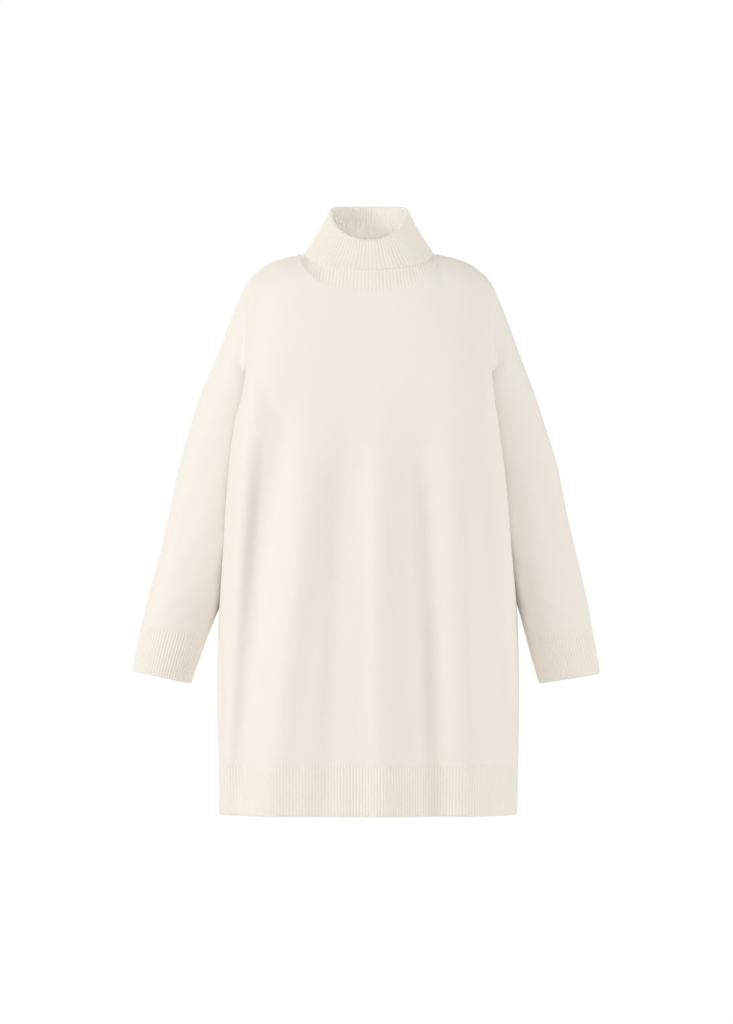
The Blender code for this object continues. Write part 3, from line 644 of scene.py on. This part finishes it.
class Cloth:
    """Grid of cloth on the form; place gives a column and row their point, or None off its edge."""

    def __init__(self, columns, rows, place, closed=False, pitch=None, hanging_row=0):
        self.columns, self.rows = columns, rows
        self.bm = bmesh.new()
        across, up = len(columns) - 1, len(rows) - 1
        bmesh.ops.create_grid(self.bm, x_segments=across, y_segments=up, size=1.0)
        self.at = {}
        off_edge = []
        for vertex in self.bm.verts:
            column = round((vertex.co.x + 1) / 2 * across)
            row = round((vertex.co.y + 1) / 2 * up)
            point = place(columns[column], rows[row])
            if point is None:
                off_edge.append(vertex)
            else:
                vertex.co = point
                self.at[column, row] = vertex
        bmesh.ops.delete(self.bm, geom=off_edge, context="VERTS")
        self.map_stitches(pitch, hanging_row)
        if closed:
            doubles = {self.at[across, row]: self.at[0, row] for row in range(up + 1)}
            bmesh.ops.weld_verts(self.bm, targetmap=doubles)
            self.at = {key: vertex for key, vertex in self.at.items() if key[0] < across}

    def line(self, column=None, row=None):
        """Vertices of one column or one row, in order."""
        if column is None:
            keys = [(i, row) for i in range(len(self.columns))]
        else:
            keys = [(column, i) for i in range(len(self.rows))]
        return [self.at[key] for key in keys if key in self.at]

    def map_stitches(self, pitch, hanging_row):
        """UV map in metres of cloth: across the wales, and along them.

        Below the hanging row the wales of a part that ends above the first row follow its columns.
        """
        layer = self.bm.loops.layers.uv.new("knit")
        across, along = {}, {}
        for row in range(len(self.rows)):
            line = self.line(row=row)
            lengths = run_lengths([vertex.co for vertex in line])
            middle = lengths[len(line) // 2]
            across.update({vertex: length - middle for vertex, length in zip(line, lengths)})
        for (column, row), vertex in self.at.items():
            if row < hanging_row and (column, 0) not in self.at:
                across[vertex] = across[self.at[column, hanging_row]]
        foot = self.line(column=len(self.columns) // 2)[0].co.z
        for column in range(len(self.columns)):
            line = self.line(column=column)
            lengths = run_lengths([vertex.co for vertex in line])
            start = line[0].co.z - foot
            along.update({vertex: start + length for vertex, length in zip(line, lengths)})
            if pitch:
                across.update({vertex: self.columns[column][0] * pitch for vertex in line})
        for face in self.bm.faces:
            for loop in face.loops:
                loop[layer].uv = (across[loop.vert], along[loop.vert])

    def smooth(self, chosen, times):
        """Ease the cloth at the chosen spots."""
        soft = [vertex for key, vertex in self.at.items() if chosen(*key) and not vertex.is_boundary]
        for _ in range(times):
            bmesh.ops.smooth_vert(self.bm, verts=soft, factor=0.5,
                                  use_axis_x=True, use_axis_y=True, use_axis_z=True)

    def raise_by(self, relief):
        """Move each point out along the cloth's normal by the relief of its spot."""
        below, above, beside = {}, {}, {}
        for column in range(len(self.columns)):
            line = self.line(column=column)
            lengths = run_lengths([vertex.co for vertex in line])
            for vertex, length in zip(line, lengths):
                below[vertex], above[vertex] = length, lengths[-1] - length
        for row in range(len(self.rows)):
            line = self.line(row=row)
            lengths = run_lengths([vertex.co for vertex in line])
            for vertex, length in zip(line, lengths):
                beside[vertex] = min(length, lengths[-1] - length)
        self.bm.normal_update()
        moves = []
        for (column, row), vertex in self.at.items():
            spot = Spot(self.columns[column], self.rows[row], vertex.co.copy(),
                        below[vertex], above[vertex], beside[vertex])
            moves.append((vertex, vertex.normal * relief(spot)))
        for vertex, move in moves:
            vertex.co += move

    def sew(self, name, material, node, thickness=CLOTH):
        """Make the piece, give it its thickness and fasten it to the model."""
        for face in self.bm.faces:
            face.smooth = True
        for edge in self.bm.edges:
            edge.smooth = not edge.is_boundary
        mesh = bpy.data.meshes.new(name)
        self.bm.to_mesh(mesh)
        self.bm.free()
        mesh.materials.append(material)
        piece = bpy.data.objects.new(name, mesh)
        bpy.context.scene.collection.objects.link(piece)
        if thickness:
            shell = piece.modifiers.new("thickness", "SOLIDIFY")
            shell.thickness = thickness
            shell.offset = -1.0
        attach(piece, "root")
        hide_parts(node)
        return piece


# ---------------------------------------------------------------- relief

def seam(distance):
    """A seam draws the cloth in, and its allowance lifts the cloth a little beside it."""
    return SEAM_WELT * bell(distance - WELT_PLACE, SEAM_REACH) - SEAM_DIP * bell(distance, SEAM_REACH)


def rib(passed):
    """Round rib with a narrow groove at each whole number of ribs passed."""
    return RIB_DEPTH * (abs(math.sin(math.pi * passed)) ** RIB_ROUNDNESS - 1)


def band_lift(spot):
    """Ribs of a band that is sewn on along its top and ends in a free edge."""
    lift = rib(spot.column[0]) * ease(spot.above / RIB_FADE) + seam(spot.above)
    lift += RIB_WELT * bell(spot.above - RIB_WELT_PLACE, RIB_WELT_REACH)
    return lift - EDGE_CURL * bell(spot.below, EDGE_CURL_REACH)


def crease_lift(crease, across, height):
    """How far one crease lifts the cloth at a place."""
    run, rise = crease.to_across - crease.across, crease.to_height - crease.height
    length = math.hypot(run, rise)
    share = ((across - crease.across) * run + (height - crease.height) * rise) / length ** 2
    if not 0 < share < 1:
        return 0.0
    off = ((across - crease.across) * rise - (height - crease.height) * run) / length
    taper = math.sin(math.pi * share)
    return crease.depth * taper * bell(off - crease.bow * taper, crease.half_width)


# ---------------------------------------------------------------- pieces

def panel(face, material):
    """Front or back, from the hem rib to the neck, with the parts that lie over the upper arms."""
    half = [("body", station) for station in spread(0, FACE_STATION, FACE_STEP)]
    half += [("body", station) for station in spread(FACE_STATION, BODY_STATION, SIDE_STEP)[1:]]
    half += [("armpit", share) for share in spread(0, 1, 1 / ARMPIT_STEPS)[1:-1]]
    half += [("cap", station) for station in spread(0, ARM_STATION, CAP_STEP)]
    columns = [(part, face, station) for part, station in reversed(half[1:])]
    columns += [(part, -face, station) for part, station in half]
    skirt = [("skirt", HEM_RIB_TOP + place) for place in edged(UNDERARM - HEM_RIB_TOP, ROW)]
    skirt = [row for row in skirt if row[1] < UNDERARM - ROW / 2]
    chest_length = SHOULDER_HEIGHT(CHEST_ACROSS) - UNDERARM
    chest = [("chest", min(place / chest_length, 1.0)) for place in edged(chest_length, ROW)]
    rows = skirt + chest

    def place(column, row):
        part, side, station = column
        if row[0] == "skirt":
            return body_point(face, side, station, row[1]) if part == "body" else None
        share = row[1]
        if part == "body":
            point = chest_point(face, side, station, share)
        elif part == "cap":
            point = cap_point(face, side, station, share)
        else:
            inside = chest_point(face, side, BODY_STATION, share)
            point = inside.lerp(cap_point(face, side, 0, share), station)
        return joined(part, side, station, share, point)

    def joined(part, side, station, share, point):
        """The point, moved to the smooth face that chest and upper arm share above the armpit."""
        joining = ease((share - JOIN_SHARE) / JOIN_SPAN)
        if joining == 0.0:
            return point
        if part != "body" or station > FACE_STATION:
            cap_start = TURNED_STATIONS + 1
            start = {"body": -FACE_STATION, "armpit": TURNED_STATIONS, "cap": cap_start}[part]
            passed = (start + station) / (cap_start + ARM_STATION)
            crease = crease_across(side, share)
            edge = cap_point(face, side, ARM_STATION, share)
            even = mix(crease, abs(edge.x), passed)
            height = mix(mix(UNDERARM, top_height(face, crease), share), edge.z, passed)
            point = point.lerp(Vector((side * even, point.y, height)), joining)
        if share == 1.0 or (part == "cap" and station == ARM_STATION):
            return point
        softness = JOIN_SOFTNESS * ease((share - JOIN_SHARE) / SOFTENING_SPAN)
        out = joined_depth(face, side, abs(point.x), point.z, softness)
        out += fold_depth(face, point.x, point.z) * min(out / FOLD_FADE, 1.0)
        point.y = mix(point.y, SEAM_Y + face * out, joining)
        return point

    joined_row = len(skirt) + sum(row[1] < JOIN_SHARE + JOIN_SPAN for row in chest)
    cloth = Cloth(columns, rows, place, hanging_row=joined_row)

    def near_crease(column, row):
        part, _, station = columns[column]
        beside = part == "armpit" or (part == "body" and station > FACE_STATION - 1)
        beside = beside or (part == "cap" and station < CAP_TURN)
        return beside and row > len(skirt) - EASED_ROWS

    cloth.smooth(near_crease, EASINGS)

    def relief(spot):
        lift = seam(spot.below)
        if spot.above > 0.0:
            lift += seam(spot.above) * SHOULDER_SEAM
        if spot.row[0] == "skirt" or spot.column[0] == "cap":
            lift += seam(spot.beside) * SIDE_SEAM
        across, _, height = spot.point
        return lift + sum(crease_lift(crease, across, height) for crease in CREASES[face])

    cloth.raise_by(relief)
    word = FACE_WORD[face]
    return cloth.sew(word + "_cloth", material, word + "_panel")


def hem_rib(face, material):
    """Ribbed band round half of the hem."""
    def read(station, height):
        side = -face if station > 0 else face
        return body_point(face, side, abs(station), height)

    middle = (HEM + HEM_RIB_TOP) / 2
    columns = rib_columns(lambda station: read(station, middle),
                          -BODY_STATION, BODY_STATION, HEM_RIB_PITCH)
    rows = [HEM + place for place in edged(HEM_RIB_TOP - HEM, RIB_ROW)]
    cloth = Cloth(columns, rows, lambda column, height: read(column[1], height), pitch=HEM_RIB_PITCH)
    cloth.raise_by(lambda spot: band_lift(spot) + seam(spot.beside) * SIDE_SEAM)
    word = FACE_WORD[face]
    return cloth.sew(word + "_hem_ribbing", material, word + "_hem_rib")


def sleeve(side, material):
    """Sleeve from the drop shoulder's seam to the cuff."""
    length = UNDERARM - CUFF_SEAM
    rows = [place / length for place in edged(length, ROW)]
    columns = [side * turn for turn in spread(0, 2 * ARM_STATION, SLEEVE_STEP)]

    def place(turn, share):
        height, rise = mix(CUFF_SEAM, UNDERARM, share), mix(CUFF_RISE[side], ARMHOLE_RISE, share)
        return sleeve_point(side, turn, height, rise)

    cloth = Cloth(columns, rows, place, closed=True)

    def relief(spot):
        turn = (spot.column + 2 * ARM_STATION) % (2 * ARM_STATION)
        lift = seam(spot.below) + seam(spot.above) + seam(spot.beside) * UNDERARM_SEAM
        for wrinkle in SLEEVE_WRINKLES[side]:
            crease = Crease(wrinkle.turn * TURN_LENGTH, wrinkle.height, wrinkle.to_turn * TURN_LENGTH,
                            wrinkle.to_height, WRINKLE_BOW, wrinkle.half_width, wrinkle.depth)
            for way in (turn, turn - 2 * ARM_STATION):
                lift += crease_lift(crease, way * TURN_LENGTH, spot.point.z)
        return lift

    cloth.raise_by(relief)
    word = SIDE_WORD[side]
    return cloth.sew(word + "_sleeve_cloth", material, word + "_sleeve")


def cuff(side, material):
    """Ribbed cuff."""
    def place(column, height):
        return sleeve_point(side, side * column[1], height, CUFF_RISE[side])

    middle = (CUFF_SEAM + CUFF_END) / 2
    columns = rib_columns(lambda turn: place((0, turn), middle), 0, 2 * ARM_STATION, CUFF_RIB_PITCH)
    rows = [CUFF_END + length for length in edged(CUFF_SEAM - CUFF_END, RIB_ROW)]
    cloth = Cloth(columns, rows, place, closed=True, pitch=CUFF_RIB_PITCH)
    cloth.raise_by(band_lift)
    word = SIDE_WORD[side]
    return cloth.sew(word + "_cuff_ribbing", material, word + "_cuff_rib")


def neck_yoke(material):
    """Ribbed band that spreads from under the rolled collar to the neck seam."""
    def place(column, share):
        angle = column[1]
        low, _, up, out = collar_frame(angle)
        inside = low - out * (ROLLED_CLOTH - CLOTH) / 2 - up * YOKE_TUCK
        if share > 1:
            return inside + up * (share - 1)
        return neck_edge_point(angle).lerp(inside, share)

    columns = rib_columns(lambda angle: place((0, angle), 0.5), 0, 2 * math.pi, YOKE_RIB_PITCH)
    under_collar = (1.002, 1.005, 1.009)    # what passes 1 is metres further up
    rows = [*spread(0, 1, 1 / YOKE_ROWS), *under_collar]
    cloth = Cloth(columns, rows, place, closed=True, pitch=YOKE_RIB_PITCH)

    def relief(spot):
        return rib(spot.column[0]) * ease(spot.row / YOKE_FADE) + seam(spot.below) * SHOULDER_SEAM

    cloth.raise_by(relief)
    return cloth.sew("neck_ribbing", material, "neck_yoke_rib")


def collar(material):
    """Roll neck: up the outside, over the rolled rim and down the inside, with a rolled lower edge."""
    layer = ROLLED_CLOTH / 4
    roll = ROLLED_CLOTH / 2
    tail, tail_step = 0.0080, 0.0022    # the edge that is turned in at the bottom
    # Each row is the share of the way up, how much further up, and how far out.
    profile = [(0.0, tail - tail_step * i, -2 * layer) for i in range(3)]
    for turn in spread(-math.pi, 0, math.pi / 6):
        profile.append((0.0, layer + layer * math.sin(turn), layer * math.cos(turn) - layer))
    for share in spread(0, 1, 1 / COLLAR_OUTSIDE)[1:-1]:
        profile.append((share, mix(layer, -roll, share), 0.0))
    for turn in spread(0, math.pi, math.pi / 9):
        profile.append((1.0, roll * math.sin(turn) - roll, roll * math.cos(turn) - roll))
    for share in spread(0, 1, 1 / COLLAR_INSIDE)[1:]:
        profile.append((1 - share, mix(-roll, -YOKE_TUCK, share), -2 * roll))

    def place(column, row):
        share, further, outward = row
        low, high, up, out = collar_frame(column[1])
        inward = Vector((-math.sin(column[1]), math.cos(column[1]), 0.0))
        hollow = COLLAR_HOLLOW * math.sin(math.pi * share)
        return low.lerp(high, share) + inward * hollow + up * further + out * outward

    def middle(angle):
        return place((0, angle), (0.5, 0.0, 0.0))

    columns = rib_columns(middle, 0, 2 * math.pi, COLLAR_RIB_PITCH)
    cloth = Cloth(columns, profile, place, closed=True, pitch=COLLAR_RIB_PITCH)
    cloth.raise_by(lambda spot: rib(spot.column[0]))
    return cloth.sew("collar_ribbing", material, "collar", thickness=0.0)


# ---------------------------------------------------------------- wool

def linear(colour):
    """Linear colour of an sRGB hex value."""
    shares = [int(colour[i:i + 2], 16) / 255 for i in (1, 3, 5)]
    return (*[s / 12.92 if s <= 0.04045 else ((s + 0.055) / 1.055) ** 2.4 for s in shares], 1.0)


def add(tree, kind, settings=None, links=None):
    """Add a node with its settings, and set or link its inputs."""
    node = tree.nodes.new(kind)
    for name, value in (settings or {}).items():
        setattr(node, name, value)
    for name, value in (links or {}).items():
        if isinstance(value, bpy.types.NodeSocket):
            tree.links.new(value, node.inputs[name])
        else:
            node.inputs[name].default_value = value
    return node


def knitted_wool(name, light, deep, wale, course, stitch_depth):
    """Matt wool knit: columns of V-shaped stitches under a short nap, with a soft pale sheen, and painted
    shade that makes the colour deeper in the gaps between stitch legs.
    """
    material = bpy.data.materials.new(name)
    material.use_nodes = True
    tree = material.node_tree
    surface = tree.nodes["Principled BSDF"]

    def math_node(operation, *values):
        links = dict(enumerate(values))
        return add(tree, "ShaderNodeMath", {"operation": operation}, links).outputs[0]

    stitches = add(tree, "ShaderNodeUVMap", {"uv_map": "knit"})
    split = add(tree, "ShaderNodeSeparateXYZ", links={0: stitches.outputs[0]})
    across = math_node("MULTIPLY", split.outputs["X"], 1 / wale)
    along = math_node("MULTIPLY", split.outputs["Y"], 1 / course)
    slant = math_node("MULTIPLY_ADD", math_node("PINGPONG", across, 0.5), 1.6, along)
    strand = math_node("SINE", math_node("MULTIPLY", slant, 2 * math.pi))
    legs = math_node("ABSOLUTE", math_node("SINE", math_node("MULTIPLY", across, 2 * math.pi)))
    stitch = math_node("MULTIPLY", legs, math_node("MULTIPLY_ADD", strand, 0.25, 0.75))

    on_piece = add(tree, "ShaderNodeTexCoord")
    nap = add(tree, "ShaderNodeTexNoise", links={
        "Vector": on_piece.outputs["Object"], "Scale": NAP_SCALE, "Detail": 3.0, "Roughness": 0.65})
    mottle = add(tree, "ShaderNodeTexNoise", links={
        "Vector": on_piece.outputs["Object"], "Scale": MOTTLE_SCALE, "Detail": 4.0, "Roughness": 0.6})
    # Colour tone: random mottle and nap, plus painted shade from the stitch pattern, deeper in the gaps
    # between stitch legs where the bump is low
    tone_and_stitch_shade = math_node("MULTIPLY_ADD", nap.outputs["Fac"], 0.45,
                     math_node("MULTIPLY_ADD", mottle.outputs["Fac"], 0.45,
                               math_node("MULTIPLY", stitch, 0.2)))
    colour = add(tree, "ShaderNodeMix", {"data_type": "RGBA"}, {
        "Factor": tone_and_stitch_shade, 6: linear(deep), 7: linear(light)})
    height = math_node("MULTIPLY_ADD", stitch, 0.6, math_node("MULTIPLY", nap.outputs["Fac"], 0.9))
    bump = add(tree, "ShaderNodeBump", links={
        "Height": height, "Distance": stitch_depth, "Strength": 0.7})
    rough = add(tree, "ShaderNodeMapRange", links={
        "Value": nap.outputs["Fac"], "To Min": 0.88, "To Max": 0.99})

    tree.links.new(colour.outputs[2], surface.inputs["Base Color"])
    tree.links.new(bump.outputs[0], surface.inputs["Normal"])
    tree.links.new(rough.outputs[0], surface.inputs["Roughness"])
    surface.inputs["IOR"].default_value = 1.55
    surface.inputs["Specular IOR Level"].default_value = 0.25
    surface.inputs["Sheen Weight"].default_value = 0.30
    surface.inputs["Sheen Roughness"].default_value = 0.55
    surface.inputs["Sheen Tint"].default_value = linear("#FFF6E8")
    return material


# ---------------------------------------------------------------- floor, light and camera

EYE = Vector((-0.004, -14.0, -0.4144))
SEEN_HEIGHT = 1.6384        # of the picture, at the side seams
SENSOR = 24.0
FLOOR_HEIGHT = -1.42
FLOOR_RADIUS = 2.60


def camera():
    seen = bpy.data.cameras.new("camera")
    seen.sensor_fit = "VERTICAL"
    seen.sensor_height = SENSOR
    seen.lens = SENSOR * (SEAM_Y - EYE.y) / SEEN_HEIGHT
    eye = bpy.data.objects.new("camera", seen)
    eye.location = EYE
    eye.rotation_euler = (math.pi / 2, 0.0, 0.0)
    bpy.context.scene.collection.objects.link(eye)
    bpy.context.scene.camera = eye


def soft_light(box):
    """Round softbox or card, turned to face its middle."""
    lamp = bpy.data.lights.new(box.name, "AREA")
    lamp.shape = "DISK"
    lamp.size = box.size
    lamp.energy = box.power
    light = bpy.data.objects.new(box.name, lamp)
    aside, raised = math.radians(box.aside), math.radians(box.raised)
    level = math.cos(raised)
    towards = Vector((math.sin(aside) * level, -math.cos(aside) * level, math.sin(raised)))
    light.location = box.middle + towards * box.distance
    light.visible_camera = False
    light.rotation_euler = towards.to_track_quat("Z", "Y").to_euler()
    bpy.context.scene.collection.objects.link(light)


def studio():
    """White studio: an even bright room, softboxes all round, a card inside the neck, a pale floor."""
    world = bpy.data.worlds.new("studio")
    world.use_nodes = True
    tree = world.node_tree
    seen = add(tree, "ShaderNodeLightPath")
    white = add(tree, "ShaderNodeBackground", links={"Color": linear("#FFFFFF"), "Strength": 1.0})
    room = tree.nodes["Background"]
    room.inputs["Color"].default_value = linear("#FFFDF9")
    room.inputs["Strength"].default_value = ROOM_LIGHT
    either = add(tree, "ShaderNodeMixShader", links={
        0: seen.outputs["Is Camera Ray"], 1: room.outputs[0], 2: white.outputs[0]})
    tree.links.new(either.outputs[0], tree.nodes["World Output"].inputs["Surface"])
    bpy.context.scene.world = world
    for box in SOFTBOXES:
        soft_light(box)

    bm = bmesh.new()
    bmesh.ops.create_circle(bm, cap_ends=True, segments=96, radius=FLOOR_RADIUS)
    bmesh.ops.translate(bm, verts=bm.verts[:], vec=(0.0, 0.0, FLOOR_HEIGHT))
    mesh = bpy.data.meshes.new("floor")
    bm.to_mesh(mesh)
    bm.free()
    paint = bpy.data.materials.new("painted_studio_floor")
    paint.use_nodes = True
    surface = paint.node_tree.nodes["Principled BSDF"]
    surface.inputs["Base Color"].default_value = linear(FLOOR_PALE)
    surface.inputs["Roughness"].default_value = 0.7
    mesh.materials.append(paint)
    floor = bpy.data.objects.new("floor", mesh)
    bpy.context.scene.collection.objects.link(floor)
    bpy.context.scene.view_settings.view_transform = "Standard"


# ---------------------------------------------------------------- the dress

# What shows of each piece, laid flat, in metres and square metres.
Cut = namedtuple("Cut", "width length area held")


def main():
    camera()
    studio()
    brushed = knitted_wool("brushed_plain_knit_wool", BRUSHED_LIGHT, BRUSHED_DEEP,
                           BODY_WALE, BODY_COURSE, BODY_STITCH)
    ribbed = knitted_wool("ribbed_knit_wool", RIB_LIGHT, RIB_DEEP,
                          HEM_RIB_PITCH, BODY_COURSE, RIB_STITCH)
    pieces = [panel(-1, brushed), panel(1, brushed), hem_rib(-1, ribbed), hem_rib(1, ribbed)]
    for side in (-1, 1):
        pieces += [sleeve(side, brushed), cuff(side, ribbed)]
    pieces += [neck_yoke(ribbed), collar(ribbed)]


main()
